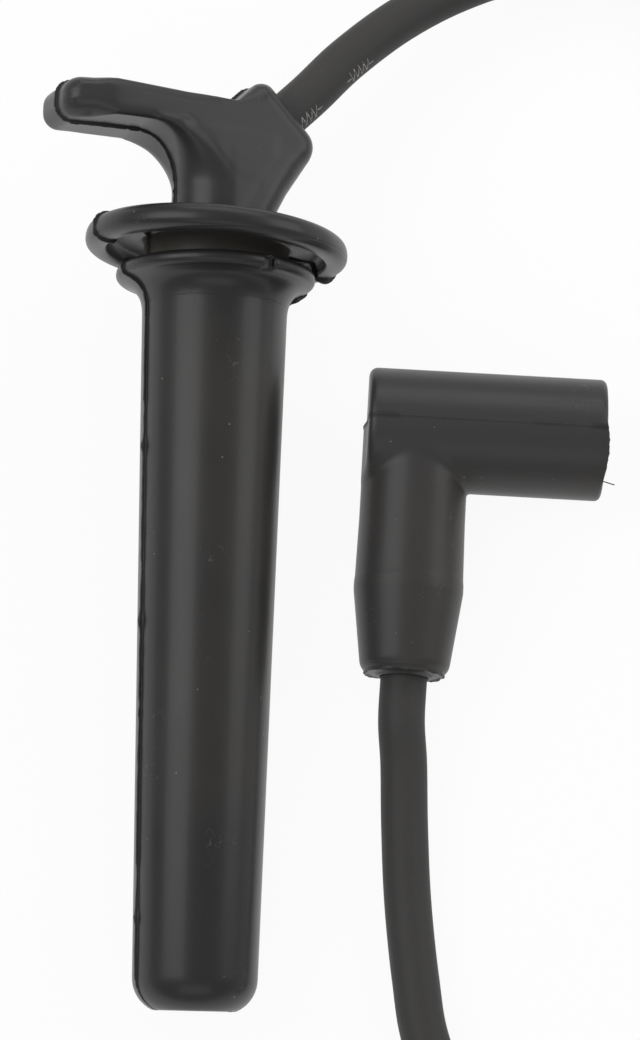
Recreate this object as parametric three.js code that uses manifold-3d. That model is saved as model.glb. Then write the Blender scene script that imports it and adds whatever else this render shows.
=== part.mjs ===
// Spark plug wire: a 7 mm ignition lead with a long plug boot on one end and a right-angle
// coil boot on the other. The lead lies on a table, +Z up. The origin is on the table, under
// the middle of the plug boot. Lengths are in millimetres and angles in degrees.
import * as THREE from "three";
import { mergeVertices } from "three/addons/utils/BufferGeometryUtils.js";
import Module from "manifold-3d";

const wasm = await Module();
wasm.setup();

// Lead and the fits that both ends share
const wireDiameter = 7;
const coreDiameter = 1.3;
const clearance = 0.3;
const gripLength = 10;
const foldRoom = 3;
const endRoom = 1;

// Stamped terminals: both ends take the same stud
const studDiameter = 6.5;
const sheetThickness = 0.4;
const socketLength = 12;
const socketFlare = 0.45;
const flareLength = 1.4;
const rollSeam = 0.7;
const clipThickness = 0.5;
const clipWidth = 1.4;
const clipOpening = 50;
const windowWidth = 3;
const strapWidth = 4;
const strapLap = 2;
const strapFold = 0.5;

// Plug boot: heights are measured up the boot from the widest edge of its seal
const bootLength = 113.6;
const tipRadius = 9.15;
const tipRound = 5.1;
const mouthFaceRadius = 6.1;
const insulatorBore = 10.4;
const insulatorDepth = 33;
const tubeTopRadius = 10.9;
const collarRadius = 15;
const collarHeight = -3.5;
const collarThickness = 2.4;
const collarFillet = 4.4;
const collarRound = 1;

// Well seal: the soft disc under the handle, which has taken a slight lean
const sealRadius = 19.8;
const sealDome = 3.5;
const sealEdgeDepth = 1.7;
const sealLipWidth = 3.2;
const sealRoofHeight = 0.7;
const sealRimHeight = 2.1;
const sealRimRound = 1.1;
const channelRound = 1.2;
const lipRound = 1;
const sealLean = 2.8;

// Neck, handle and wire exit
const neckRadius = 7;
const throatHeight = 4;
const throatReach = 5.4;
const throatRise = 9.4;
const throatCurve = 1.5;
const wireBendReach = 7;
const exitHeight = 11.5;
const exitAngle = 45;
const exitLength = 14.1;
const exitRadius = 7.1;
const exitRound = 1.5;
const handleReach = 27;
const handleTop = 22.3;
const handleDepth = 5.8;
const handleChamfer = 6.6;
const handleTipDrop = 1.3;
const handleTipRound = 2.1;
const handleTipSweep = 75;
const handleRound = 1.6;
const handleFilletWidth = 6.2;
const handleFilletHeight = 8.4;
const handleHaunch = 1;

// Coil boot: the leg holds the wire and the barrel fits over the coil tower
const barrelRadius = 9.2;
const barrelLength = 28.3;
const barrelEdge = 0.9;
const towerBore = 11.4;
const towerDepth = 18;
const capReach = 8;
const capRound = 2.5;
const legRadius = 7.85;
const legGripRadius = 8.05;
const legGripStart = 20.6;
const legGripEnd = 24.5;
const legStep = 0.6;
const legLength = 37.7;
const legEndRadius = 6.7;
const legEndRound = 2.2;
const innerCornerFillet = 1.6;

// Where the two ends lie on the table
const plugBootLean = 1.36;
const plugBootRoll = 205.8;
const coilBootTurn = 3.3;
const coilBootPlace = new THREE.Vector2(33.65, 18.4);

// How finely round forms are cut into facets, and how far forms run into each other or past a
// surface that they cut
const roundFacets = 40;
const legFacets = 40;
const exitFacets = 32;
const boreFacets = 20;
const wireBoreFacets = 16;
const cordFacets = 12;
const coreFacets = 8;
const bendSteps = 30;
const bendPoints = 8;
const foldPoints = 6;
const foldSteps = 14;
const cordSteps = 64;
const overlap = 0.5;
const cutReach = 1;

const wireRadius = wireDiameter / 2;
const wireBore = wireRadius + clearance;
const socketBore = studDiameter / 2;
const socketRadius = socketBore + sheetThickness;
const clipBore = socketRadius + clearance;
const clipRadius = clipBore + clipThickness;
const crimpRadius = wireBore + sheetThickness;
const chamberRadius = clipRadius + clearance;
const terminalLength = socketLength + foldRoom + gripLength;
const radians = THREE.MathUtils.degToRad;

const rubber = { color: 0x474546, roughness: 0.55, metalness: 0 };
const jacket = { color: 0x4d4b49, roughness: 0.75, metalness: 0 };
const platedSteel = { color: 0xb9b6ae, roughness: 0.35, metalness: 0.9 };
const springSteel = { color: 0x8d8f92, roughness: 0.3, metalness: 0.95 };
const carbonCore = { color: 0x1d1c1c, roughness: 0.8, metalness: 0 };

// A closed three.js geometry as a solid that can be joined and cut
function solid(geometry, matrix = new THREE.Matrix4()) {
  const bare = geometry.clone().applyMatrix4(matrix);
  bare.deleteAttribute("normal");
  bare.deleteAttribute("uv");
  const merged = mergeVertices(bare, 1e-4);
  return new wasm.Manifold(
    new wasm.Mesh({
      numProp: 3,
      vertProperties: merged.attributes.position.array,
      triVerts: new Uint32Array(merged.index.array),
    }),
  );
}

// A named mesh of a finished solid
function piece(name, body, finish) {
  const { vertProperties, triVerts } = body.getMesh();
  const geometry = new THREE.BufferGeometry();
  geometry.setAttribute("position", new THREE.BufferAttribute(new Float32Array(vertProperties), 3));
  geometry.setIndex(new THREE.BufferAttribute(new Uint32Array(triVerts), 1));
  geometry.computeVertexNormals();
  const mesh = new THREE.Mesh(geometry, new THREE.MeshStandardMaterial(finish));
  mesh.name = name;
  return mesh;
}

// A profile of radius and height turned round the Z axis
function turned(profile, facets = roundFacets, curvePoints = 4) {
  const points = profile.getPoints(curvePoints);
  const geometry = new THREE.LatheGeometry(points, facets);
  return solid(geometry, new THREE.Matrix4().makeRotationX(Math.PI / 2));
}

// A plain rod up the Z axis between two heights
function rod(radius, low, high, facets = boreFacets) {
  const profile = new THREE.Path();
  profile.moveTo(0, low);
  profile.lineTo(radius, low);
  profile.lineTo(radius, high);
  profile.lineTo(0, high);
  return turned(profile, facets);
}

// A block by its lowest and highest corners
function block(low, high) {
  const size = new THREE.Vector3().subVectors(high, low);
  const middle = new THREE.Vector3().addVectors(low, high).multiplyScalar(0.5);
  const geometry = new THREE.BoxGeometry(size.x, size.y, size.z);
  return solid(geometry, new THREE.Matrix4().setPosition(middle));
}

// A round rod that follows a curve
function rodAlong(curve, radius, facets, steps) {
  const section = new THREE.Shape();
  for (let i = 0; i < facets; i++) {
    const angle = (2 * Math.PI * i) / facets;
    const point = [radius * Math.cos(angle), radius * Math.sin(angle)];
    if (i === 0) section.moveTo(...point);
    else section.lineTo(...point);
  }
  const settings = { steps, extrudePath: curve, bevelEnabled: false };
  return solid(new THREE.ExtrudeGeometry(section, settings));
}

const alongX = new THREE.Matrix4().makeRotationY(Math.PI / 2);
const downY = new THREE.Matrix4().makeRotationX(Math.PI / 2);

// Plug boot: one rubber moulding of tube, collar, well seal, neck, handle and wire exit
const tubeShape = new THREE.Path();
const tipCentre = tipRadius - tipRound;
const faceAngle = Math.acos((mouthFaceRadius - tipCentre) / tipRound);
const tipTop = -bootLength + tipRound * Math.sin(faceAngle);
const collarUnder = collarHeight - collarThickness;
const collarFoot = collarUnder - collarFillet;
tubeShape.moveTo(0, -bootLength);
tubeShape.lineTo(mouthFaceRadius, -bootLength);
tubeShape.absarc(tipCentre, tipTop, tipRound, -faceAngle, 0);
tubeShape.lineTo(tubeTopRadius, collarFoot);
tubeShape.quadraticCurveTo(
  tubeTopRadius,
  collarUnder - collarRound,
  collarRadius - collarThickness / 2,
  collarUnder,
);
tubeShape.quadraticCurveTo(collarRadius, collarUnder, collarRadius, collarUnder + collarRound);
tubeShape.quadraticCurveTo(collarRadius, collarHeight, collarRadius - collarRound, collarHeight);
tubeShape.lineTo(tubeTopRadius, collarHeight);
tubeShape.lineTo(tubeTopRadius, sealRoofHeight + overlap);
tubeShape.lineTo(0, sealRoofHeight + overlap);

// The seal's section: a domed disc with a rolled lip round an open channel
const sealShape = new THREE.Path();
const lipInner = sealRadius - sealLipWidth;
const rimTop = sealRimHeight - sealRimRound / 2;
sealShape.moveTo(0, sealRoofHeight);
sealShape.lineTo(lipInner - channelRound, sealRoofHeight);
sealShape.quadraticCurveTo(lipInner, sealRoofHeight, lipInner, lipRound - sealEdgeDepth);
sealShape.quadraticCurveTo(lipInner, -sealEdgeDepth, lipInner + lipRound, -sealEdgeDepth);
sealShape.quadraticCurveTo(sealRadius, -sealEdgeDepth, sealRadius, 0);
sealShape.quadraticCurveTo(sealRadius, rimTop, sealRadius - sealRimRound, sealRimHeight);
sealShape.quadraticCurveTo((sealRadius + neckRadius) / 2, sealDome, neckRadius, sealDome);
sealShape.lineTo(0, sealDome);
const upInBoot = radians(270 - plugBootRoll);
const leanAxis = new THREE.Vector3(Math.cos(upInBoot), Math.sin(upInBoot), 0);
const seal = turned(sealShape).transform(
  new THREE.Matrix4().makeRotationAxis(leanAxis, -radians(sealLean)).elements,
);

// One level of the neck: a rounded slab, with its own corner radius at each end
function neckLevel(low, high, cornerLow, cornerHigh, height) {
  const cornerPoints = 6;
  const ring = [];
  const corners = [
    [high - cornerHigh, neckRadius - cornerHigh, cornerHigh],
    [low + cornerLow, neckRadius - cornerLow, cornerLow],
    [low + cornerLow, cornerLow - neckRadius, cornerLow],
    [high - cornerHigh, cornerHigh - neckRadius, cornerHigh],
  ];
  corners.forEach(([u, n, radius], quarter) => {
    for (let i = 0; i < cornerPoints; i++) {
      const angle = ((quarter + i / (cornerPoints - 1)) * Math.PI) / 2;
      const x = u + radius * Math.cos(angle);
      const y = n + radius * Math.sin(angle);
      ring.push(new THREE.Vector3(x, y, height));
    }
  });
  return ring;
}

// A closed skin over rings of equal count, with flat ends
function lofted(rings) {
  const count = rings[0].length;
  const positions = rings.flat().flatMap((p) => p.toArray());
  const index = [];
  for (let level = 0; level + 1 < rings.length; level++) {
    for (let i = 0; i < count; i++) {
      const a = level * count + i;
      const b = level * count + ((i + 1) % count);
      index.push(a, b, b + count, a, b + count, a + count);
    }
  }
  const last = (rings.length - 1) * count;
  for (let i = 1; i + 1 < count; i++) {
    index.push(0, i + 1, i, last, last + i, last + i + 1);
  }
  const geometry = new THREE.BufferGeometry();
  geometry.setAttribute("position", new THREE.Float32BufferAttribute(positions, 3));
  geometry.setIndex(index);
  return solid(geometry);
}

// The neck starts round, then widens to the handle on one side and the wire exit on the other.
// Its corners stay just short of a full half circle, and its fillet short of level.
const handleUnderside = handleTop - handleDepth;
const neckRings = [];
const neckLevels = 10;
const neckFoot = sealRoofHeight + overlap;
const neckTopHeight = handleUnderside + overlap;
const filletFoot = handleUnderside - handleFilletHeight;
const fullRound = neckRadius * 0.99;
const fullRise = 0.97;
for (let i = 0; i <= neckLevels; i++) {
  const height = neckFoot + ((neckTopHeight - neckFoot) * i) / neckLevels;
  const rise = THREE.MathUtils.clamp((height - filletFoot) / handleFilletHeight, 0, fullRise);
  const handleSide = neckRadius + handleFilletWidth * (1 - Math.sqrt(1 - rise * rise));
  const throat = Math.max(0, height - throatHeight) / throatRise;
  const exitSide = neckRadius + throatReach * Math.min(1, throat ** throatCurve);
  const edge = fullRound + (handleRound - fullRound) * rise * rise;
  neckRings.push(neckLevel(-exitSide, handleSide, fullRound, edge, height));
}
const neck = lofted(neckRings);

// Handle: a flat bar with a chamfered top corner and a rounded tip
const handleShape = new THREE.Shape();
const underside = handleUnderside - overlap / 2;
handleShape.moveTo(-exitRadius, exitHeight + exitRadius);
handleShape.lineTo(0, exitHeight);
handleShape.lineTo(neckRadius, handleUnderside - handleHaunch);
handleShape.lineTo(neckRadius + handleFilletWidth, handleUnderside);
const tipX = handleReach - handleTipRound;
handleShape.absarc(tipX, underside + handleTipRound, handleTipRound, -Math.PI / 2, 0);
const tipHigh = handleTop - handleTipDrop - handleTipRound;
handleShape.absarc(tipX, tipHigh, handleTipRound, 0, radians(handleTipSweep));
handleShape.lineTo(handleReach - handleChamfer, handleTop);
handleShape.lineTo(exitHeight + exitRadius * Math.SQRT2 - handleTop, handleTop);
const handleSettings = {
  depth: 2 * (neckRadius - handleRound),
  bevelThickness: handleRound,
  bevelSize: handleRound,
  bevelOffset: -handleRound,
  bevelSegments: 3,
  curveSegments: 6,
};
const handlePlace = new THREE.Matrix4()
  .makeRotationX(Math.PI / 2)
  .setPosition(0, neckRadius - handleRound, 0);
const handle = solid(new THREE.ExtrudeGeometry(handleShape, handleSettings), handlePlace);

// Wire exit: a short round barrel that leaves the neck on the side away from the handle
const exitShape = new THREE.Path();
exitShape.moveTo(0, 0);
exitShape.lineTo(exitRadius, 0);
exitShape.absarc(exitRadius - exitRound, exitLength - exitRound, exitRound, 0, Math.PI / 2);
exitShape.lineTo(0, exitLength);
const exitPlace = new THREE.Matrix4()
  .makeRotationY(-radians(exitAngle))
  .setPosition(0, 0, exitHeight);
const exitBarrel = turned(exitShape, exitFacets).transform(exitPlace.elements);

// The wire's line inside the plug boot: up the tube, round one bend and out of the barrel
const socketMouth = -bootLength + insulatorDepth;
const crimpFoot = socketMouth + socketLength + foldRoom;
const exitDirection = new THREE.Vector3(-Math.sin(radians(exitAngle)), 0, Math.cos(radians(exitAngle)));
const bendPoint = new THREE.Vector3(0, 0, exitHeight);
const plugExit = bendPoint.clone().addScaledVector(exitDirection, exitLength);
function plugWirePath(foot, beyond) {
  const straightShare = 0.9;
  const start = new THREE.Vector3(0, 0, foot);
  const bendStart = new THREE.Vector3(0, 0, exitHeight - wireBendReach);
  const bendEnd = bendPoint.clone().addScaledVector(exitDirection, wireBendReach);
  const end = plugExit.clone().addScaledVector(exitDirection, beyond);
  const bend = new THREE.QuadraticBezierCurve3(bendStart, bendPoint, bendEnd);
  const points = [start, start.clone().lerp(bendStart, straightShare), ...bend.getPoints(bendPoints)];
  return new THREE.CatmullRomCurve3([...points, end]);
}
const crimpTop = crimpFoot + gripLength;
const plugWireBore = rodAlong(plugWirePath(crimpTop, cutReach), wireBore, wireBoreFacets, bendSteps);
const plugChamber = rod(chamberRadius, socketMouth - overlap, crimpTop + endRoom);
const insulatorSpace = rod(insulatorBore / 2, -bootLength - cutReach, socketMouth);
const plugBoot = turned(tubeShape)
  .add(seal)
  .add(neck)
  .add(handle)
  .add(exitBarrel)
  .subtract(plugWireBore)
  .subtract(plugChamber)
  .subtract(insulatorSpace);

// Straight terminal: a rolled socket with a flared mouth, a waist and a crimped barrel
function socketProfile(profile) {
  const flareRadius = socketRadius + socketFlare;
  profile.moveTo(socketBore + socketFlare, 0);
  profile.lineTo(flareRadius, 0);
  profile.lineTo(socketRadius, flareLength);
  profile.lineTo(socketRadius, socketLength);
}
const straightShape = new THREE.Path();
socketProfile(straightShape);
straightShape.lineTo(crimpRadius, socketLength + foldRoom);
straightShape.lineTo(crimpRadius, terminalLength);
straightShape.lineTo(wireBore, terminalLength);
straightShape.lineTo(wireBore, socketLength + foldRoom);
straightShape.lineTo(socketBore, socketLength);
straightShape.lineTo(socketBore, flareLength);
straightShape.closePath();

// The rolled seam runs down the back, and two windows let the clip grip the stud
function socketCuts(length) {
  const reach = crimpRadius + cutReach;
  const seam = block(
    new THREE.Vector3(-reach, -rollSeam / 2, -cutReach),
    new THREE.Vector3(0, rollSeam / 2, length + cutReach),
  );
  const middle = socketLength / 2;
  const windows = block(
    new THREE.Vector3(-windowWidth / 2, -reach, middle - clipWidth),
    new THREE.Vector3(windowWidth / 2, reach, middle + clipWidth),
  );
  return seam.add(windows);
}
const plugTerminal = turned(straightShape, boreFacets).subtract(socketCuts(terminalLength));

// Clip: a C-shaped spring round the middle of the socket
function springClip() {
  const opening = radians(clipOpening);
  const shape = new THREE.Shape();
  shape.absarc(0, 0, clipRadius, -Math.PI + opening / 2, Math.PI - opening / 2);
  shape.absarc(0, 0, clipBore, Math.PI - opening / 2, -Math.PI + opening / 2, true);
  const settings = { depth: clipWidth, bevelEnabled: false, curveSegments: 12 };
  const place = new THREE.Matrix4().setPosition(0, 0, (socketLength - clipWidth) / 2);
  return solid(new THREE.ExtrudeGeometry(shape, settings), place);
}

// The wire is grooved where the bared core is folded back under the crimp
const coreRadius = coreDiameter / 2;
const coreLine = wireRadius - coreRadius;
const foldRadius = coreLine / 2;
const coreEnd = gripLength - 2 * endRoom;
function coreGroove() {
  const width = coreRadius + clearance;
  const low = new THREE.Vector3(coreLine - width, -width, -cutReach);
  const high = new THREE.Vector3(wireRadius + cutReach, width, coreEnd + clearance);
  return block(low, high);
}
function foldedCore() {
  const points = [];
  for (let i = 0; i <= foldPoints; i++) {
    const angle = (Math.PI * i) / foldPoints;
    const x = foldRadius * (1 - Math.cos(angle));
    points.push(new THREE.Vector3(x, 0, -clearance - foldRadius * Math.sin(angle)));
  }
  points.push(new THREE.Vector3(coreLine, 0, coreEnd));
  return rodAlong(new THREE.CatmullRomCurve3(points), coreRadius, coreFacets, foldSteps);
}
const coreCut = coreGroove().transform(new THREE.Matrix4().setPosition(0, 0, crimpFoot).elements);
const plugWire = rodAlong(plugWirePath(crimpFoot, 0), wireRadius, cordFacets, bendSteps).subtract(coreCut);

// Right-angle coil boot: the barrel points along X and the leg along -Y
const barrelShape = new THREE.Path();
barrelShape.moveTo(0, -capReach);
barrelShape.lineTo(barrelRadius - capRound, -capReach);
barrelShape.absarc(barrelRadius - capRound, capRound - capReach, capRound, -Math.PI / 2, 0);
barrelShape.absarc(barrelRadius - barrelEdge, barrelLength - barrelEdge, barrelEdge, 0, Math.PI / 2);
barrelShape.lineTo(0, barrelLength);
const legShape = new THREE.Path();
legShape.moveTo(0, 0);
legShape.lineTo(legRadius + innerCornerFillet, 0);
legShape.lineTo(legRadius + innerCornerFillet, barrelRadius - overlap);
legShape.quadraticCurveTo(legRadius, barrelRadius, legRadius, barrelRadius + innerCornerFillet);
legShape.lineTo(legRadius, legGripStart);
legShape.lineTo(legGripRadius, legGripStart + legStep);
legShape.lineTo(legGripRadius, legGripEnd);
legShape.lineTo(legEndRadius, legLength - legEndRound);
legShape.quadraticCurveTo(legEndRadius, legLength, legEndRadius - legEndRound, legLength);
legShape.lineTo(0, legLength);
const barrel = turned(barrelShape).transform(alongX.elements);
const leg = turned(legShape, legFacets).transform(downY.elements);
const legSide = block(
  new THREE.Vector3(-legGripRadius, -legLength - cutReach, -legGripRadius),
  new THREE.Vector3(2 * barrelRadius, barrelRadius, legGripRadius),
);

// The coil terminal's socket lies in the barrel, and its crimp stands in the leg
const coilSocketEnd = crimpRadius;
const coilSocketMouth = coilSocketEnd + socketLength;
const coilCrimpTop = socketRadius + foldRoom + endRoom;
const legChamberRadius = Math.hypot(crimpRadius, strapWidth / 2) + clearance;
const socketTurn = new THREE.Matrix4()
  .makeRotationY(-Math.PI / 2)
  .setPosition(coilSocketMouth, 0, 0);
const crimpTurn = new THREE.Matrix4()
  .makeRotationX(Math.PI / 2)
  .setPosition(0, -coilCrimpTop, 0);
const towerSpace = rod(towerBore / 2, barrelLength - towerDepth, barrelLength + cutReach);
const coilBoot = barrel
  .add(leg.intersect(legSide))
  .subtract(towerSpace.transform(alongX.elements))
  .subtract(rod(chamberRadius, -crimpRadius - clearance, barrelLength).transform(alongX.elements))
  .subtract(rod(legChamberRadius, 0, coilCrimpTop + gripLength + endRoom).transform(downY.elements))
  .subtract(rod(wireBore, 0, legLength + cutReach).transform(downY.elements));

// Right-angle terminal: the socket and the crimp are joined by a folded strap
const socketShape = new THREE.Path();
socketProfile(socketShape);
socketShape.lineTo(socketBore, socketLength);
socketShape.lineTo(socketBore, flareLength);
socketShape.closePath();
const crimpShape = new THREE.Path();
crimpShape.moveTo(wireBore, 0);
crimpShape.lineTo(crimpRadius, 0);
crimpShape.lineTo(crimpRadius, gripLength);
crimpShape.lineTo(wireBore, gripLength);
crimpShape.closePath();
const strapOuter = crimpRadius;
const strapInner = crimpRadius - sheetThickness;
const strapShape = new THREE.Shape();
strapShape.moveTo(-strapOuter, -coilCrimpTop - strapLap);
strapShape.lineTo(-strapInner, -coilCrimpTop - strapLap);
strapShape.lineTo(-strapInner, socketBore - strapFold);
strapShape.lineTo(strapFold - strapInner, socketBore);
strapShape.lineTo(coilSocketEnd + strapLap, socketBore);
strapShape.lineTo(coilSocketEnd + strapLap, socketRadius);
strapShape.lineTo(strapFold - strapOuter, socketRadius);
strapShape.lineTo(-strapOuter, socketRadius - strapFold);
const strap = solid(
  new THREE.ExtrudeGeometry(strapShape, { depth: strapWidth, bevelEnabled: false }),
  new THREE.Matrix4().setPosition(0, 0, -strapWidth / 2),
);
const crimpSeam = block(
  new THREE.Vector3(0, -coilCrimpTop - gripLength - cutReach, -rollSeam / 2),
  new THREE.Vector3(crimpRadius + cutReach, -coilCrimpTop + cutReach, rollSeam / 2),
);
const rightAngleSocket = turned(socketShape, boreFacets).subtract(socketCuts(socketLength));
const rightAngleCrimp = turned(crimpShape, boreFacets);
const coilTerminal = rightAngleSocket
  .transform(socketTurn.elements)
  .add(rightAngleCrimp.transform(crimpTurn.elements))
  .add(strap)
  .subtract(crimpSeam);
const coilWireLength = legLength - coilCrimpTop;
const coilWire = rod(wireRadius, 0, coilWireLength, cordFacets).subtract(coreGroove());

// The plug end stands in its own frame, axis up, and is then rolled and laid on the table
const plugEnd = new THREE.Group();
plugEnd.rotation.z = radians(plugBootRoll);
const socketPlace = new THREE.Vector3(0, 0, socketMouth);
const plugTerminalMesh = piece("plug_terminal", plugTerminal, platedSteel);
plugTerminalMesh.position.copy(socketPlace);
const plugClipMesh = piece("plug_terminal_clip", springClip(), springSteel);
plugClipMesh.position.copy(socketPlace);
const plugCoreMesh = piece("plug_end_core", foldedCore(), carbonCore);
plugCoreMesh.position.set(0, 0, crimpFoot);
const plugWireMesh = piece("plug_end_wire", plugWire, jacket);
plugEnd.add(piece("plug_boot", plugBoot, rubber), plugTerminalMesh, plugClipMesh);
plugEnd.add(plugCoreMesh, plugWireMesh);

// It rests on the rim of its seal and on its rounded tip
const rimAcross = sealRadius - tipCentre;
const restTilt =
  Math.acos(tipRound / Math.hypot(rimAcross, tipTop)) - Math.atan2(-tipTop, rimAcross);
const plugRest = new THREE.Group();
plugRest.rotation.order = "ZXY";
plugRest.rotation.set(restTilt - Math.PI / 2, 0, -radians(plugBootLean));
plugRest.add(plugEnd);

// The coil end lies on the side of its barrel and on the widest part of its leg
const coilRest = new THREE.Group();
const legTilt = Math.asin((barrelRadius - legGripRadius) / legGripEnd);
coilRest.rotation.order = "ZXY";
coilRest.rotation.set(legTilt, 0, -radians(coilBootTurn));
coilRest.position.set(coilBootPlace.x, coilBootPlace.y, barrelRadius);
const coilTerminalMesh = piece("coil_terminal", coilTerminal, platedSteel);
const coilClipMesh = piece("coil_terminal_clip", springClip(), springSteel);
coilClipMesh.applyMatrix4(socketTurn);
const coilCoreMesh = piece("coil_end_core", foldedCore(), carbonCore);
coilCoreMesh.applyMatrix4(crimpTurn);
const coilWireMesh = piece("coil_end_wire", coilWire, jacket);
coilWireMesh.applyMatrix4(crimpTurn);
coilRest.add(piece("coil_boot", coilBoot, rubber), coilTerminalMesh, coilClipMesh);
coilRest.add(coilCoreMesh, coilWireMesh);

// Set the plug end down with the middle of its box over the origin
plugRest.updateMatrixWorld(true);
const plugBox = new THREE.Box3().setFromObject(plugRest, true);
const plugMiddle = plugBox.getCenter(new THREE.Vector3());
plugRest.position.set(-plugMiddle.x, -plugMiddle.y, -plugBox.min.z);

const lead = new THREE.Group();
lead.add(plugRest, coilRest);
lead.updateMatrixWorld(true);

// The free wire leaves the plug boot, drops to the table and loops back to the coil boot
const plugExitPoint = plugEnd.localToWorld(plugExit.clone().addScaledVector(exitDirection, clearance));
const plugExitLine = plugEnd.localToWorld(plugExit.clone().addScaledVector(exitDirection, wireDiameter));
const coilExitPoint = coilRest.localToWorld(new THREE.Vector3(0, -legLength - clearance, 0));
const route = [
  [22.9, 77, 13.7],
  [31.5, 85, 11],
  [40.6, 91, 8.9],
  [50.3, 95.2, 7],
  [61, 96.9, 5.6],
  [71.9, 95.5, 4.6],
  [80, 91.8, 4],
  [87, 85.6, 3.6],
  [91.7, 77.4, wireRadius],
  [94, 67, wireRadius],
  [95.2, 40, wireRadius],
  [95.6, 10, wireRadius],
  [95, -20, wireRadius],
  [94, -45, wireRadius],
  [93.5, -67.2, wireRadius],
  [91.1, -78.7, wireRadius],
  [84.8, -88.1, wireRadius],
  [74, -95, wireRadius],
  [61.3, -96.6, wireRadius],
  [49.1, -92.8, wireRadius],
  [39.2, -84.1, wireRadius],
  [34.4, -72.8, wireRadius],
  [33, -64, wireRadius],
  [31.9, -52.2, 3.6],
  [31.5, -41, 4.5],
  [31.4, -32, 5.8],
];
const coilExitLine = coilRest.localToWorld(new THREE.Vector3(0, -legLength - wireDiameter, 0));
const routePoints = route.map(([x, y, z]) => new THREE.Vector3(x, y, z));
const wirePath = new THREE.CatmullRomCurve3(
  [plugExitPoint, plugExitLine, ...routePoints, coilExitLine, coilExitPoint],
  false,
  "centripetal",
);
const wire = rodAlong(wirePath, wireRadius, cordFacets, cordSteps);
lead.add(piece("wire", wire, jacket));

export default lead;
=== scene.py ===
"""Spark plug wire: the looks of one ignition lead that lies on a pale table.

Lengths are in millimetres and scaled to metres as each mesh is made. Those of shaders and
lamps are in metres, except where a comment says otherwise.
"""

import math

import bmesh
import bpy
import numpy as np
from mathutils import Matrix, Vector


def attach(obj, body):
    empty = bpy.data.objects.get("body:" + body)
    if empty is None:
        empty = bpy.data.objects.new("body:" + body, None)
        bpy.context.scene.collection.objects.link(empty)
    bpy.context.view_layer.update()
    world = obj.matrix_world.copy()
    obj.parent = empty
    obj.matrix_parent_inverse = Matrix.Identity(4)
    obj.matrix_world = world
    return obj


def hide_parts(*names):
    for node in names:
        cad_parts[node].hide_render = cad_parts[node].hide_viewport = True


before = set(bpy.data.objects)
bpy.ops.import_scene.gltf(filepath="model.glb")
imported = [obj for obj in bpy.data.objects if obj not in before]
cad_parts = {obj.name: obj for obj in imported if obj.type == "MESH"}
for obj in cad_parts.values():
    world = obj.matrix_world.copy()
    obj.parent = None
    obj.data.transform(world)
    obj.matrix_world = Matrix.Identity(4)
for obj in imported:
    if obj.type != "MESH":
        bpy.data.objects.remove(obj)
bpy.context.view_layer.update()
scene = bpy.context.scene
MM = 0.001

# Camera: it stands over the table, a little towards the open end of the plug boot. The free
# wire runs out of its picture and back in.
aim = Vector((18.9353, 6.8014, 0)) * MM
elevation = math.radians(75.2556)
distance = 483.96 * MM
half_picture_height = 520
picture_distance = 3143.88
camera_data = bpy.data.cameras.new("camera")
camera = bpy.data.objects.new("camera", camera_data)
scene.collection.objects.link(camera)
camera.location = aim + distance * Vector((0, -math.cos(elevation), math.sin(elevation)))
camera.rotation_euler = (math.pi / 2 - elevation, 0, 0)
camera_data.angle = 2 * math.atan(half_picture_height / picture_distance)
camera_data.clip_start = 0.02
scene.camera = camera
scene.view_settings.view_transform = "Standard"


# Free wire: a 7 mm jacket of extruded silicone over a carbon-filled core. It leaves the plug
# boot's barrel, drops to the table, makes one open loop past the picture and goes into the
# leg of the coil boot. A resistor sign is printed on it at intervals.
class Value:
    """A socket of a node tree, for use in Python sums."""

    def __init__(self, tree, socket):
        self.tree = tree
        self.socket = socket

    def maths(self, operation, first, second=0.0):
        return self.tree.add("ShaderNodeMath", {0: first, 1: second}, operation=operation)

    def __add__(self, other):
        return self.maths("ADD", self, other)

    def __radd__(self, other):
        return self.maths("ADD", other, self)

    def __sub__(self, other):
        return self.maths("SUBTRACT", self, other)

    def __rsub__(self, other):
        return self.maths("SUBTRACT", other, self)

    def __mul__(self, other):
        return self.maths("MULTIPLY", self, other)

    def __rmul__(self, other):
        return self.maths("MULTIPLY", other, self)

    def __truediv__(self, other):
        return self.maths("DIVIDE", self, other)

    def __lt__(self, other):
        return self.maths("LESS_THAN", self, other)

    def __gt__(self, other):
        return self.maths("GREATER_THAN", self, other)

    def __abs__(self):
        return self.maths("ABSOLUTE", self)

    def part(self, axis):
        return self.tree.add("ShaderNodeSeparateXYZ", {0: self}, output=axis)


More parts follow.
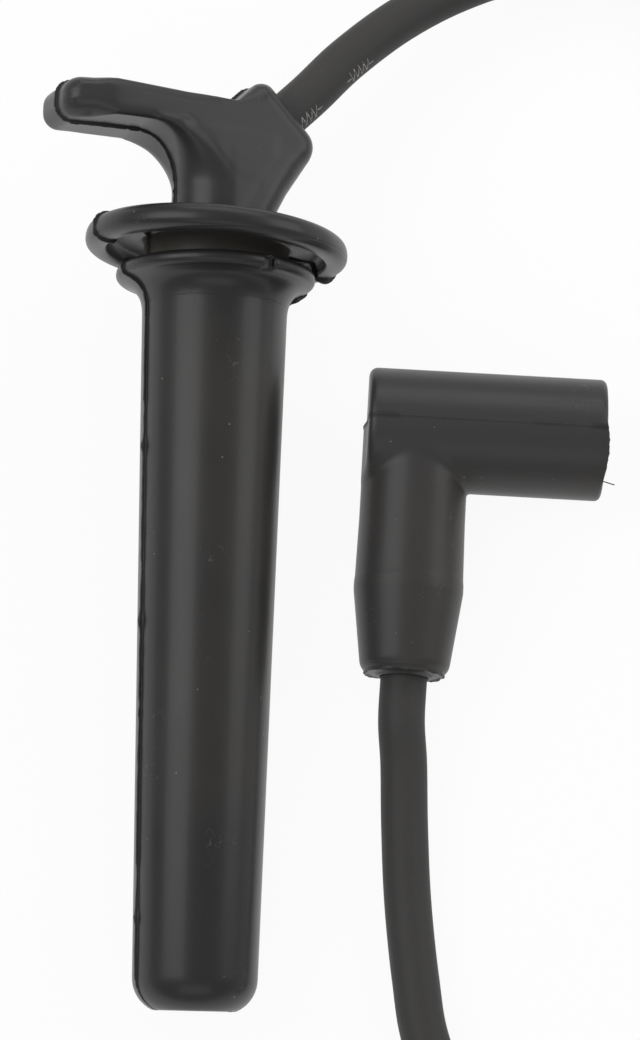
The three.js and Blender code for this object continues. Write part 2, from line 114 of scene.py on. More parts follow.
class Tree:
    """A node tree that is built by calls, each of which gives back its node's output."""

    def __init__(self, tree):
        self.tree = tree

    def add(self, kind, sockets=(), output=0, stops=(), **settings):
        node = self.tree.nodes.new(kind)
        for name, value in settings.items():
            setattr(node, name, value)
        for place, (position, shade) in enumerate(stops):
            elements = node.color_ramp.elements
            element = elements[place] if place < 2 else elements.new(position)
            element.position = position
            element.color = (shade, shade, shade, 1)
        for name, value in dict(sockets).items():
            self.put(node.inputs[name], value)
        return Value(self, node.outputs[output])

    def put(self, socket, value):
        if isinstance(value, Value):
            self.tree.links.new(value.socket, socket)
        else:
            socket.default_value = value

    def blend(self, share, first, second):
        """A colour between two others."""
        colours = [c if isinstance(c, Value) else (*c, 1) for c in (first, second)]
        return self.add(
            "ShaderNodeMix",
            {0: share, 6: colours[0], 7: colours[1]},
            output=2,
            data_type="RGBA",
        )

    def noise(self, place, scale, detail=2.0, roughness=0.5):
        """Smooth noise about 0.5, of so many waves to the metre."""
        sockets = {"Vector": place, "Scale": scale, "Detail": detail, "Roughness": roughness}
        return self.add("ShaderNodeTexNoise", sockets)

    def step(self, value, low, high):
        """0 below low and 1 above high, with a soft step between."""
        sockets = {"Value": value, "From Min": low, "From Max": high}
        return self.add("ShaderNodeMapRange", sockets, interpolation_type="SMOOTHSTEP")

    def modulo(self, value, span):
        """What is left of a value over whole spans."""
        return self.add("ShaderNodeMath", {0: value, 1: span}, operation="FLOORED_MODULO")

    def bump(self, height, depth):
        """A surface raised by height times depth, in metres."""
        return self.add("ShaderNodeBump", {"Strength": 1.0, "Distance": depth, "Height": height})


def finish_of(name, recipe, **constants):
    """A material whose Principled shader takes what the recipe returns and these constants."""
    material = bpy.data.materials.new(name)
    material.use_nodes = True
    tree = Tree(material.node_tree)
    shader = material.node_tree.nodes["Principled BSDF"]
    for socket, value in {**constants, **recipe(tree)}.items():
        tree.put(shader.inputs[socket.replace("_", " ")], value)
    return material


wire_radius = 3.5
clearance = 0.3
wire_route = [
    (22.9, 77, 13.7), (31.5, 85, 11), (40.6, 91, 8.9), (50.3, 95.2, 7),
    (61, 96.9, 5.6), (71.9, 95.5, 4.6), (80, 91.8, 4), (87, 85.6, 3.6),
    (91.7, 77.4, 3.5), (94, 67, 3.5), (95.2, 40, 3.5), (95.6, 10, 3.5),
    (95, -20, 3.5), (94, -45, 3.5), (93.5, -67.2, 3.5), (91.1, -78.7, 3.5),
    (84.8, -88.1, 3.5), (74, -95, 3.5), (61.3, -96.6, 3.5), (49.1, -92.8, 3.5),
    (39.2, -84.1, 3.5), (34.4, -72.8, 3.5), (33, -64, 3.5), (31.9, -52.2, 3.6),
    (31.5, -41, 4.5), (31.4, -32, 5.8),
]


def laid(place, turn, tilt, roll=0.0):
    """Where an end lies: turned on the table, tilted and rolled, in degrees."""
    angles = ((turn, "Z"), (tilt, "X"), (roll, "Z"))
    turns = [Matrix.Rotation(math.radians(angle), 4, axis) for angle, axis in angles]
    return Matrix.Translation(place) @ turns[0] @ turns[1] @ turns[2]


plug_roll = 205.8
plug_place = laid((3.322, 43.879, 19.704), -1.36, 5.571 - 90, plug_roll)
coil_place = laid((33.65, 18.4, 9.2), -3.3, 2.69)
exit_foot = Vector((0, 0, 11.5))
exit_way = Vector((-1, 0, 1)).normalized()
exit_length = 14.1
leg_length = 37.7
lead_points = [
    plug_place @ (exit_foot + exit_way * (exit_length + clearance)),
    plug_place @ (exit_foot + exit_way * (exit_length + 2 * wire_radius)),
    *wire_route,
    coil_place @ Vector((0, -leg_length - 2 * wire_radius, 0)),
    coil_place @ Vector((0, -leg_length - clearance, 0)),
]


def smooth_line(points, steps):
    """Points along a smooth curve through the given ones, with so many steps to each span."""
    given = np.array([tuple(p) for p in points], float)
    padded = np.vstack([2 * given[0] - given[1], given, 2 * given[-1] - given[-2]])
    line = []
    for p0, p1, p2, p3 in zip(padded, padded[1:], padded[2:], padded[3:]):
        spans = (p1 - p0, p2 - p1, p3 - p2)
        g0, g1, g2 = (max(np.linalg.norm(span) ** 0.5, 1e-6) for span in spans)
        start = ((p1 - p0) / g0 - (p2 - p0) / (g0 + g1) + (p2 - p1) / g1) * g1
        end = ((p2 - p1) / g1 - (p3 - p1) / (g1 + g2) + (p3 - p2) / g2) * g1
        for t in np.arange(steps) / steps:
            weights = (2 * t**3 - 3 * t**2 + 1, t**3 - 2 * t**2 + t, 3 * t**2 - 2 * t**3, t**3 - t**2)
            line.append(weights[0] * p1 + weights[1] * start + weights[2] * p2 + weights[3] * end)
    line.append(given[-1])
    return np.array(line)


def swept(name, line, radius, sides, material):
    """A round rod along a line, made by Geometry Nodes, with its lengths along and around kept."""
    curve = bpy.data.curves.new(name + "_line", "CURVE")
    curve.dimensions = "3D"
    spline = curve.splines.new("POLY")
    spline.points.add(len(line) - 1)
    spline.points.foreach_set("co", np.c_[line * MM, np.ones(len(line))].ravel())
    guide = bpy.data.objects.new(name + "_line", curve)
    scene.collection.objects.link(guide)

    group = bpy.data.node_groups.new(name + "_sweep", "GeometryNodeTree")
    face = group.interface
    face.new_socket("Line", in_out="INPUT", socket_type="NodeSocketGeometry")
    face.new_socket("Radius", in_out="INPUT", socket_type="NodeSocketFloat")
    face.new_socket("Sides", in_out="INPUT", socket_type="NodeSocketInt")
    face.new_socket("Finish", in_out="INPUT", socket_type="NodeSocketMaterial")
    face.new_socket("Rod", in_out="OUTPUT", socket_type="NodeSocketGeometry")
    tree = Tree(group)
    given = group.nodes.new("NodeGroupInput")
    inlet = {socket.name: Value(tree, socket) for socket in given.outputs if socket.name}
    level = tree.add("GeometryNodeSetCurveNormal", {"Curve": inlet["Line"]}, mode="Z_UP")
    length = tree.add("GeometryNodeSplineParameter", output="Length")
    measured = tree.add(
        "GeometryNodeStoreNamedAttribute",
        {"Geometry": level, "Name": "along", "Value": length},
        data_type="FLOAT",
        domain="POINT",
    )
    round_section = {"Resolution": inlet["Sides"], "Radius": inlet["Radius"]}
    section = tree.add("GeometryNodeCurvePrimitiveCircle", round_section)
    turn = tree.add("GeometryNodeSplineParameter", output="Factor")
    turned_section = tree.add(
        "GeometryNodeStoreNamedAttribute",
        {"Geometry": section, "Name": "around", "Value": turn},
        data_type="FLOAT",
        domain="POINT",
    )
    tube = tree.add(
        "GeometryNodeCurveToMesh",
        {"Curve": measured, "Profile Curve": turned_section, "Fill Caps": True},
    )
    smooth = tree.add("GeometryNodeSetShadeSmooth", {"Geometry": tube, "Shade Smooth": True})
    whole = tree.add("GeometryNodeRealizeInstances", {"Geometry": smooth})
    dressed = tree.add("GeometryNodeSetMaterial", {"Geometry": whole, "Material": inlet["Finish"]})
    outlet = group.nodes.new("NodeGroupOutput")
    tree.put(outlet.inputs[0], dressed)

    modifier = guide.modifiers.new("sweep", "NODES")
    modifier.node_group = group
    values = {"Radius": radius * MM, "Sides": sides, "Finish": material}
    for item in face.items_tree:
        if item.in_out == "INPUT" and item.name in values:
            modifier[item.identifier] = values[item.name]
    graph = bpy.context.evaluated_depsgraph_get()
    mesh = bpy.data.meshes.new_from_object(guide.evaluated_get(graph), depsgraph=graph)
    bpy.data.objects.remove(guide)
    piece = bpy.data.objects.new(name, mesh)
    scene.collection.objects.link(piece)
    return piece


def jacket_recipe(tree):
    """Dusty extruded silicone, mottled and matte."""
    place = tree.add("ShaderNodeTexCoord", output="Object")
    mottle = tree.noise(place, 260.0, 4.0, 0.6)
    grain = tree.noise(place, 5200.0, 2.0, 0.6)
    base = tree.blend(mottle, (0.045, 0.043, 0.042), (0.059, 0.0565, 0.055))
    return {
        "Base_Color": tree.blend(tree.step(grain, 0.58, 0.72) * 0.3, base, (0.11, 0.105, 0.1)),
        "Roughness": 0.5 + 0.2 * mottle,
        "Normal": tree.bump(grain, 0.00003),
    }


# The printed sign, in metres, with turns of the wire for its side and for how the row winds.
# Each row is a pair of signs, and then a gap of three.
print_start = -0.0038
print_spacing = 0.0125
print_length = 0.0044
print_height = 0.0021
print_tooth = 0.00055
print_stroke = 0.0003
print_lead_stroke = 0.00012
print_side = 0.925
print_twist = 0.97


def printed_recipe(tree):
    """The jacket with lines along it and the sign of a resistor, a zigzag with its two ends."""
    plain = jacket_recipe(tree)
    along = tree.add("ShaderNodeAttribute", output="Fac", attribute_name="along")
    around = tree.add("ShaderNodeAttribute", output="Fac", attribute_name="around")
    stretched = tree.add("ShaderNodeCombineXYZ", {0: along * 6.0, 1: around * 40.0})
    lines = tree.noise(stretched, 1.0, 4.0)
    reach = tree.modulo(along - print_start, print_spacing) - print_spacing / 2
    pair = tree.modulo(along - print_start, 5 * print_spacing) < 2 * print_spacing
    turn = tree.modulo(around - print_side - along * print_twist + 0.5, 1.0) - 0.5
    side = turn * 2 * math.pi * wire_radius * MM
    fold = tree.add("ShaderNodeMath", {0: reach, 1: print_tooth}, operation="PINGPONG")
    wave = fold - print_tooth / 2
    peaks = abs(reach) < print_length / 2
    stroke = print_lead_stroke + (print_stroke - print_lead_stroke) * peaks
    drawn = abs(side - wave * peaks * print_height / print_tooth) < stroke
    ends = abs(reach) < print_length * 0.72
    place = tree.add("ShaderNodeTexCoord", output="Object")
    worn = tree.step(tree.noise(place, 2600.0, 2.0), 0.36, 0.5)
    ink = drawn * ends * pair * worn * 0.9
    return {
        "Base_Color": tree.blend(ink, plain["Base_Color"], (0.48, 0.47, 0.45)),
        "Roughness": plain["Roughness"],
        "Normal": tree.bump(lines, 0.00003),
    }


jacket = finish_of("wire_jacket", jacket_recipe, IOR=1.42)
printed_jacket = finish_of("printed_jacket", printed_recipe, IOR=1.42)
wire_line = smooth_line(lead_points, 12)
wire = swept("free_wire", wire_line, wire_radius, 48, printed_jacket)
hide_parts("wire")
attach(wire, "root")


# Plug boot: one moulding of silicone rubber, dark and satin. It is a long drafted tube with a
# collar, a domed well seal, a flat pull handle and an angled barrel for the wire. The two
# halves of its mould met in the plane of the handle and left a thin line of flash there.
def smooth_join(first, second, fillet):
    """Two distances as one, with a fillet where the surfaces meet."""
    share = np.clip(0.5 + 0.5 * (second - first) / fillet, 0, 1)
    return second + (first - second) * share - fillet * share * (1 - share)


def carve(body, space, edge):
    """One distance less another, with a rounded edge."""
    return -smooth_join(-body, space, edge)


def line_distance(points, x, y):
    """Distance in a plane to a line of points."""
    nearest = np.full(x.shape, 1e9)
    for (x0, y0), (x1, y1) in zip(points, points[1:]):
        ex, ey = x1 - x0, y1 - y0
        t = np.clip(((x - x0) * ex + (y - y0) * ey) / (ex * ex + ey * ey), 0, 1)
        nearest = np.minimum(nearest, (x - x0 - t * ex) ** 2 + (y - y0 - t * ey) ** 2)
    return np.sqrt(nearest)


def outline_distance(outline, x, y):
    """Distance in a plane to a closed outline, negative inside it."""
    closed = [*outline, outline[0]]
    inside = np.zeros(x.shape, bool)
    for (x0, y0), (x1, y1) in zip(closed, closed[1:]):
        if y0 != y1:
            crossing = (y0 > y) != (y1 > y)
            inside ^= crossing & (x - x0 < (y - y0) * (x1 - x0) / (y1 - y0))
    return np.where(inside, -1, 1) * line_distance(closed, x, y)


def arc(centre, radius, start, end, points=8):
    """Points on an arc between two angles in degrees."""
    angles = np.radians(np.linspace(start, end, points))
    return [(centre[0] + radius * math.cos(t), centre[1] + radius * math.sin(t)) for t in angles]


def bent(start, pull, end, points=8):
    """Points on a curve from start to end that is pulled towards a third point."""
    t = np.linspace(0, 1, points)[:, None]
    curve = (1 - t) ** 2 * np.array(start) + 2 * t * (1 - t) * np.array(pull) + t**2 * np.array(end)
    return [tuple(p) for p in curve]


def rounded(first, second, radius):
    """Where two distances are both negative, with the edge between them rounded."""
    a, b = first + radius, second + radius
    return np.minimum(np.maximum(a, b), 0) + np.hypot(np.maximum(a, 0), np.maximum(b, 0)) - radius


def steps(*spans):
    """Lattice lines: each span is a start, an end and a step."""
    lines = []
    for low, high, step in spans:
        lines.append(np.linspace(low, high, round((high - low) / step), endpoint=False))
    return np.append(np.concatenate(lines), spans[-1][1])


def moulded(name, field, lattice, place):
    """A closed skin over the places where the field, in the piece's own millimetres, is zero."""
    # The field is read on every fourth lattice line, and on all of them near the surface.
    coarse = 4
    axes = []
    for lines in lattice:
        spare = np.arange(1, 1 + (-len(lines) + 1) % coarse)
        axes.append(np.append(lines, lines[-1] + spare))
    rough_points = np.meshgrid(*[lines[::coarse] for lines in axes], indexing="ij")
    rough = field(*[p.ravel() for p in rough_points]).reshape(rough_points[0].shape)
    reach = [np.diff(lines[::coarse]).max() for lines in axes]
    blocks = [slice(None, -1), slice(1, None)]
    corners = np.stack([rough[i, j, k] for i in blocks for j in blocks for k in blocks])
    near = np.abs(corners).min(0) < np.linalg.norm(reach)
    near |= (corners.min(0) < 0) & (corners.max(0) > 0)
    wanted = np.zeros([len(lines) for lines in axes], bool)
    dense = near.repeat(coarse, 0).repeat(coarse, 1).repeat(coarse, 2)
    for i in (0, 1):
        for j in (0, 1):
            for k in (0, 1):
                wanted[i : i + dense.shape[0], j : j + dense.shape[1], k : k + dense.shape[2]] |= dense
    far = np.sign(rough)[:-1, :-1, :-1].repeat(coarse, 0).repeat(coarse, 1).repeat(coarse, 2)
    values = np.pad(far, [(0, 1)] * 3, mode="edge").astype(np.float64)
    where = np.nonzero(wanted)
    values[where] = field(*[lines[i] for lines, i in zip(axes, where)])

    # One point stands in each cell that the surface crosses.
    inside = values < 0
    counts = sum(inside[i, j, k].astype(int) for i in blocks for j in blocks for k in blocks)
    cells = np.nonzero((counts > 0) & (counts < 8))
    number = np.full(counts.shape, -1)
    number[cells] = np.arange(len(cells[0]))
    points = np.stack([(lines[i] + lines[i + 1]) / 2 for lines, i in zip(axes, cells)], 1)

    # One face stands across each lattice edge that the surface crosses.
    faces = []
    for axis in range(3):
        along = [slice(None)] * 3
        beyond = [slice(None)] * 3
        along[axis], beyond[axis] = slice(None, -1), slice(1, None)
        crossed = inside[tuple(along)] != inside[tuple(beyond)]
        edge = np.stack(np.nonzero(crossed), 1)
        second, third = (axis + 1) % 3, (axis + 2) % 3
        ring = []
        for back_second, back_third in ((0, 0), (1, 0), (1, 1), (0, 1)):
            cell = edge.copy()
            cell[:, second] -= back_second
            cell[:, third] -= back_third
            ring.append(number[tuple(cell.T)])
        quads = np.stack(ring, 1)
        outward = inside[tuple(along)][tuple(edge.T)]
        quads[~outward] = quads[~outward][:, ::-1]
        faces.append(quads)
    faces = np.concatenate(faces)

    # The points are evened out, and each time drawn back to the surface.
    pairs = np.concatenate([faces[:, [i, (i + 1) % 4]] for i in range(4)])
    share = np.bincount(pairs[:, 0], minlength=len(points))[:, None]
    for relax in (0, 0.5, 0.5, 0.5, 0.35, 0, 0):
        if relax:
            pulls = []
            for axis in range(3):
                pulls.append(np.bincount(pairs[:, 0], points[pairs[:, 1], axis], len(points)))
            points = points + relax * (np.stack(pulls, 1) / share - points)
        level = field(*points.T)
        shift = 0.02
        shifted = [field(*(points + shift * way).T) for way in np.eye(3)]
        slope = np.stack([(moved - level) / shift for moved in shifted], 1)
        step = level[:, None] * slope / np.maximum((slope**2).sum(1), 0.2)[:, None]
        points = points - np.clip(step, -0.4, 0.4)

    turn = np.array(place)
    world = (points @ turn[:3, :3].T + turn[:3, 3]) * MM
    # The coil boot's leg is a little thicker here than in its solid, so what would go below the
    # table is pressed flat on it.
    world[:, 2] = np.maximum(world[:, 2], 0)
    mesh = bpy.data.meshes.new(name)
    mesh.from_pydata(world.tolist(), [], faces.tolist())
    mesh.polygons.foreach_set("use_smooth", np.ones(len(faces), bool))
    piece = bpy.data.objects.new(name, mesh)
    scene.collection.objects.link(piece)
    return piece


boot_length = 113.6
tip_radius = 9.15
tip_round = 5.1
face_radius = 6.1
tube_top_radius = 10.9
collar_radius = 15
collar_height = -3.5
collar_thickness = 2.4
collar_fillet = 4.4
seal_radius = 19.8
seal_dome = 3.5
seal_edge = 1.7
lip_width = 3.2
roof_height = 0.7
neck_radius = 7
exit_radius = 7.1
exit_round = 0.55
handle_reach = 26.5
handle_top = 22.3
handle_depth = 5.8
handle_corner = 2.35
handle_foot = 16.4
nose_start = 20.3
tip_centre = tip_radius - tip_round
face_angle = math.degrees(math.acos((face_radius - tip_centre) / tip_round))
tip_top = -boot_length + tip_round * math.sin(math.radians(face_angle))
collar_foot = collar_height - collar_thickness - collar_fillet
collar_under = collar_height - collar_thickness
flare_middle = (tube_top_radius + collar_radius) / 2 + 0.6
tube_outline = [
    (-3, -boot_length),
    (face_radius, -boot_length),
    *arc((tip_centre, tip_top), tip_round, -face_angle, 0, 10),
    *bent(
        (tube_top_radius, collar_foot),
        (tube_top_radius + 0.1, collar_under - 1),
        (flare_middle, collar_under),
    ),
    *bent(
        (collar_radius - 1.2, collar_under + 0.15),
        (collar_radius, collar_under + 0.4),
        (collar_radius, collar_under + 1.2),
    ),
    *bent(
        (collar_radius, collar_under + 1.3),
        (collar_radius, collar_height),
        (collar_radius - 1, collar_height),
    ),
    (tube_top_radius, collar_height + 0.3),
    (tube_top_radius, 1.7),
    (-3, 1.7),
]
lip_inner = seal_radius - lip_width
dome_middle = (seal_radius + neck_radius) / 2
seal_outline = [
    (-3, roof_height),
    *bent((lip_inner - 1.2, roof_height), (lip_inner - 0.2, roof_height), (lip_inner, 0.3 - seal_edge)),
    *bent((lip_inner, 0.2 - seal_edge), (lip_inner + 0.2, -seal_edge), (lip_inner + 1, -seal_edge), 5),
    *bent((lip_inner + 1.2, -seal_edge), (seal_radius, -seal_edge + 0.2), (seal_radius, -0.05)),
    *bent((seal_radius, 0), (seal_radius, 1.6), (seal_radius - 1.1, 2.1)),
    *bent((seal_radius - 1.3, 2.18), (dome_middle, seal_dome - 0.2), (neck_radius, seal_dome)),
    (-3, seal_dome),
]
handle_outline = [
    (-exit_radius, exit_foot.z + exit_radius),
    *bent((-1.5, 8.2), (1.3, 14.6), (9.2, 16.65), 7),
    (13, 16.85),
    (19, 16.7),
    *arc((handle_reach - handle_corner, handle_foot + handle_corner), handle_corner, -95, 0),
    *arc((handle_reach - handle_corner, handle_top - handle_corner), handle_corner, 0, 90),
    (nose_start, handle_top - 0.1),
    (9.3, handle_top - 0.5),
    (0, handle_top - 0.8),
]
shoulder_outline = [(3.6, -2), (-7, -2), (-7.1, 4), (-9.4, 8.6), (-13.2, 14.6), (-10, 17), (3.6, 17)]
seal_lean = math.radians(2.8)
lean_side = math.radians(270 - plug_roll)


def seal_field(u, n, a):
    """Distance to the well seal, a thick disc that leans a little on the tube."""
    across = -u * math.sin(lean_side) + n * math.cos(lean_side)
    seal_up = a * math.cos(seal_lean) + across * math.sin(seal_lean)
    seal_across = across * math.cos(seal_lean) - a * math.sin(seal_lean)
    seal_along = u * math.cos(lean_side) + n * math.sin(lean_side)
    return outline_distance(seal_outline, np.hypot(seal_across, seal_along), seal_up)


neck_round = 6.95
neck_sharp = 0.8


def neck_field(u, n, a):
    """Distance to the neck, which is round at its foot and square on the handle's side."""
    handle_under = handle_top - handle_depth
    rise = np.clip((a - handle_under + 8) / 8.4, 0, 0.995)
    throat = np.clip((a - 4) / 9.4, 0, 1)
    corner = neck_round - (neck_round - neck_sharp) * rise**1.35
    handle_side = neck_radius + 6.2 * (1 - np.sqrt(1 - rise * rise))
    exit_side = neck_radius + 5.4 * throat**1.5
    side = np.where(u > 0, handle_side, exit_side)
    radius = np.where(u > 0, corner, neck_round)
    slab = rounded(np.abs(u) - side, np.abs(n) - neck_radius, radius)
    return np.maximum(slab, np.maximum(a - handle_under - 0.4, 0.5 - a))


def plate_field(u, n, a, along, aside):
    """Distance to the flat plate of handle, shoulder and wire barrel."""
    edge = outline_distance(handle_outline, u, a)
    barrel_corner = np.where(aside > 0, 2.2, 3.4)
    barrel = rounded(np.abs(aside) - exit_radius, along - exit_length + 0.3, barrel_corner)
    flat = smooth_join(edge, np.maximum(barrel, -1 - along), 0.4)
    nose = np.clip((u - nose_start + 1) / 3, 0, 1)
    past_nose = (u - nose_start + np.hypot(u - nose_start, 0.8)) / 2
    taper = np.where(n > 0, 0.42 * past_nose + 0.5 * nose * np.maximum(18.8 - a, 0), 0)
    crown = 0.5 * np.clip(1 + edge / 1.9, 0, 1) ** 2 * np.clip((u - 3) / 5, 0, 1)
    softness = 0.4 + np.where(n > 0, 1.3, 0.6) * nose + 2.4 * np.clip(-u / 4, 0, 1)
    plate = rounded(flat, np.abs(n) - neck_radius + taper + crown, softness)
    shoulder = rounded(outline_distance(shoulder_outline, u, a), np.abs(n) - neck_radius, 3.6)
    return smooth_join(plate, shoulder, 0.2)


# Each blob of the flash stands at a place (u, a) and has a size.
flash_blobs = [
    (-18.3, -2.6, 1.1),
    (-13.6, -6.7, 0.9),
    (11.05, -31.3, 0.7),
    (10.3, -57.2, 0.8),
    (9.4, -100.5, 0.6),
]
flash_height = 0.42
flash_half_thickness = 0.16


def ragged(t):
    """An uneven ripple between about -1 and 1."""
    return (np.sin(1.3 * t) + np.sin(2.9 * t + 1) + 0.7 * np.sin(6.1 * t + 2)) / 2.7


def with_flash(body, u, n, a):
    """The body with a thin ridge in the parting plane, which fades out at the tip."""
    fade = np.clip((a + boot_length) / 6, 0.05, 1)
    proud = (flash_height + 0.06 * ragged(u + a)) * fade
    thick = flash_half_thickness + 0.015 * ragged(0.6 * a - u)
    for blob_u, blob_a, blob_size in flash_blobs:
        swell = np.exp(-((u - blob_u) ** 2 + (a - blob_a) ** 2) / blob_size**2)
        proud = proud + 0.35 * swell
        thick = thick + 0.3 * swell
    flash = np.maximum(body - proud, np.abs(n) - thick)
    return smooth_join(body, flash, 0.15)


wire_bend = [(0, -70), *bent((0, 4.5), (0, 11.5), (-4.95, 16.45)), (-12, 23.5)]
wire_bore = 3.8
wire_seal_bore = 3.52
wire_seal_depth = 2
terminal_bore = 4.75
terminal_bore_top = -54.6
terminal_bore_foot = -81.6
plug_bore = 5.2
plug_bore_top = -80.6
chip_place = (-2.4, 13.5, -4.8)
chip_half_width = 0.75
chip_half_height = 0.8


def plug_boot_field(u, n, a):
    """Distance to the rubber: u to the handle's tip, n to the camera's side, a up the boot."""
    radius = np.hypot(u, n)
    along = -u * exit_way.z + (a - exit_foot.z) * exit_way.z
    aside = u * exit_way.z + (a - exit_foot.z) * exit_way.z
    body = smooth_join(outline_distance(tube_outline, radius, a), seal_field(u, n, a), 0.8)
    head_join = 0.25 + 1.3 * np.clip((u - 7) / 2, 0, 1)
    head = smooth_join(neck_field(u, n, a), plate_field(u, n, a, along, aside), head_join)
    head = rounded(head, along - exit_length, exit_round)
    body = with_flash(smooth_join(body, head, 1.6), u, n, a)
    chip_u, chip_n, chip_a = chip_place
    chip = np.maximum(np.abs(u - chip_u) - chip_half_width, np.abs(a - chip_a) - chip_half_height)
    body = carve(body, np.maximum(chip, chip_n - n), 0.1)
    wire_hole = np.where(along > exit_length - wire_seal_depth, wire_seal_bore, wire_bore)
    body = carve(body, np.hypot(n, line_distance(wire_bend, u, a)) - wire_hole, 0.3)
    chamber = np.maximum(a - terminal_bore_top, terminal_bore_foot - a)
    body = carve(body, np.maximum(radius - terminal_bore, chamber), 0.2)
    return carve(body, np.maximum(radius - plug_bore, a - plug_bore_top), 0.5)


# The hollow under the seal, where dust lies and where a pale tone is painted in as light to lift the shade
# there.
hollow_radius = 0.0145
hollow_level = -0.0014
hollow_half_height = 0.0019


def rubber_of(name, place, rings, seam_tone, pale_from, pale_share, gloss, dust_and_painted_light):
    """Satin black rubber that parts on the plane y = 0 of its own frame, with mould rings.

    Each ring has an axis, a level and a width, and pale_from is the level above which the
    rubber is paler: these are in millimetres. seam_tone is how much painted shade lies on the
    seam between its dashes of full shade, and dust_and_painted_light is how much pale tone is
    painted into the hollow of the seal, as dust and as painted light that lifts the shade there.
    """

    def recipe(tree):
        spot = tree.add("ShaderNodeTexCoord", output="Object")
        here = tree.add(
            "ShaderNodeMapping",
            {"Vector": spot, "Location": place.translation * MM, "Rotation": place.to_euler()},
            vector_type="TEXTURE",
        )
        x, y, z = here.part(0), here.part(1), here.part(2)
        mottle = tree.noise(here, 90.0, 5.0, 0.6)
        patches = tree.noise(here, 26.0, 2.0, 0.5)
        drawn_out = tree.add("ShaderNodeMapping", {"Vector": here, "Scale": (900.0, 900.0, 30.0)})
        streaks = tree.noise(drawn_out, 1.0, 3.0)
        grain = tree.noise(here, 4200.0, 3.0, 0.6)
        base = tree.blend(mottle, (0.019, 0.018, 0.018), (0.029, 0.0275, 0.0275))

        pale = tree.step(z, pale_from * MM, (pale_from + 6) * MM) * pale_share
        base = tree.blend(pale, base, (0.05, 0.0475, 0.047))
        within = 1 - tree.step(x * x + y * y, (hollow_radius - 0.0007) ** 2, (hollow_radius + 0.0007) ** 2)
        off_level = abs(z - hollow_level)
        level = 1 - tree.step(off_level, hollow_half_height - 0.0004, hollow_half_height + 0.0004)
        hollow = within * level
        # Dust and painted light: a pale warm tone in the hollow under the seal stands in for light the
        # lamps don't bring there.
        base = tree.blend(hollow * dust_and_painted_light, base, (0.12, 0.112, 0.096))
        base = tree.blend(tree.step(patches, 0.45, 0.7) * 0.5, base, (0.043, 0.0395, 0.035))

        # Painted shade: the seam in the parting plane is darkened, in dashes, for the shadow that the
        # flash ridge holds.
        seam = tree.step(abs(y), 0.0007, 0.0002)
        dashes = tree.step(tree.noise(here, 170.0, 1.0), 0.46, 0.56)
        dark = seam_tone + (1 - seam_tone) * dashes
        painted_seam_shade = seam * tree.step(patches, 0.36, 0.56) * dark
        base = tree.blend(painted_seam_shade, base, (0.007, 0.0065, 0.0065))

        cells = tree.add("ShaderNodeTexVoronoi", {"Vector": here, "Scale": 360.0}, output="Distance")
        specks = (cells < 0.05) * (tree.noise(here, 900.0, 0.0) > 0.54)
        threads = tree.step(abs(tree.noise(here, 520.0, 1.0) - 0.5), 0.008, 0.003)
        marks = threads * tree.step(tree.noise(here, 140.0, 1.0), 0.63, 0.68)
        base = tree.blend(specks * 0.8, base, (0.24, 0.22, 0.19))
        base = tree.blend(marks * 0.45, base, (0.12, 0.11, 0.1))

        grooves = 0.0
        for axis, ring_level, width in rings:
            off_ring = abs(here.part(axis) - ring_level * MM)
            ring = tree.step(off_ring, width * MM, width * 0.3 * MM)
            grooves = grooves + ring * (1.0 - hollow * (dust_and_painted_light > 0))
        height = grain * 0.35 + streaks * 0.25 + marks * 0.8 - grooves * 1.2
        return {
            "Base_Color": base,
            "Roughness": 0.41 - gloss + 0.14 * mottle + 0.12 * patches + 0.2 * seam,
            "Normal": tree.bump(height, 0.00003),
        }

    return finish_of(name, recipe, IOR=1.44, Coat_Weight=gloss, Coat_Roughness=0.2, Coat_IOR=1.5)


plug_rubber = rubber_of(
    "plug_boot_rubber",
    plug_place,
    rings=[(2, -9.4, 0.14), (2, -1.4, 0.16), (2, -1.95, 0.16)],
    seam_tone=1,
    pale_from=2,
    pale_share=0.55,
    gloss=0.15,
    dust_and_painted_light=0.7,
)
plug_lattice = [
    steps((-20.8, 20.6, 0.4), (20.6, 28.2, 0.35)),
    steps((-20.8, -0.8, 0.4), (-0.8, -0.4, 0.2), (-0.4, 0.4, 0.08), (0.4, 0.8, 0.2), (0.8, 20.8, 0.4)),
    steps((-114.6, -108, 0.4), (-108, -12, 1.2), (-12, 27.6, 0.4)),
]
plug_boot = moulded("plug_boot_moulding", plug_boot_field, plug_lattice, plug_place)
plug_boot.data.materials.append(plug_rubber)
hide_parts("plug_boot")
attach(plug_boot, "root")

# Coil boot: a right-angle moulding of the same rubber. Its barrel slides over the coil's tower
# and its leg grips the wire. Its mould parted along the top of the barrel.
barrel_radius = 9.2
barrel_length = 28.3
cap_reach = 7.6
cap_round = 1.2
mouth_round = 0.9
tower_bore = 5.7
tower_bore_depth = 18
socket_bore = 4.75
socket_bore_reach = 4.5
crimp_bore = 4.95
crimp_bore_depth = 19.05
leg_radius = 8
leg_grip_radius = 8.25
leg_grip_start = 23.2
leg_grip_end = 25
leg_end_radius = 6.7
leg_end_round = 2.2
leg_outline = [
    (-3, 0),
    (leg_radius, 0),
    (leg_radius, leg_grip_start - 9),
    (leg_grip_radius - 0.08, leg_grip_start),
    (leg_grip_radius, leg_grip_start + 0.25),
    (leg_grip_radius, leg_grip_end),
    *bent(
        (leg_end_radius + 0.15, leg_length - leg_end_round),
        (leg_end_radius, leg_length),
        (leg_end_radius - leg_end_round, leg_length),
    ),
    (-3, leg_length),
]


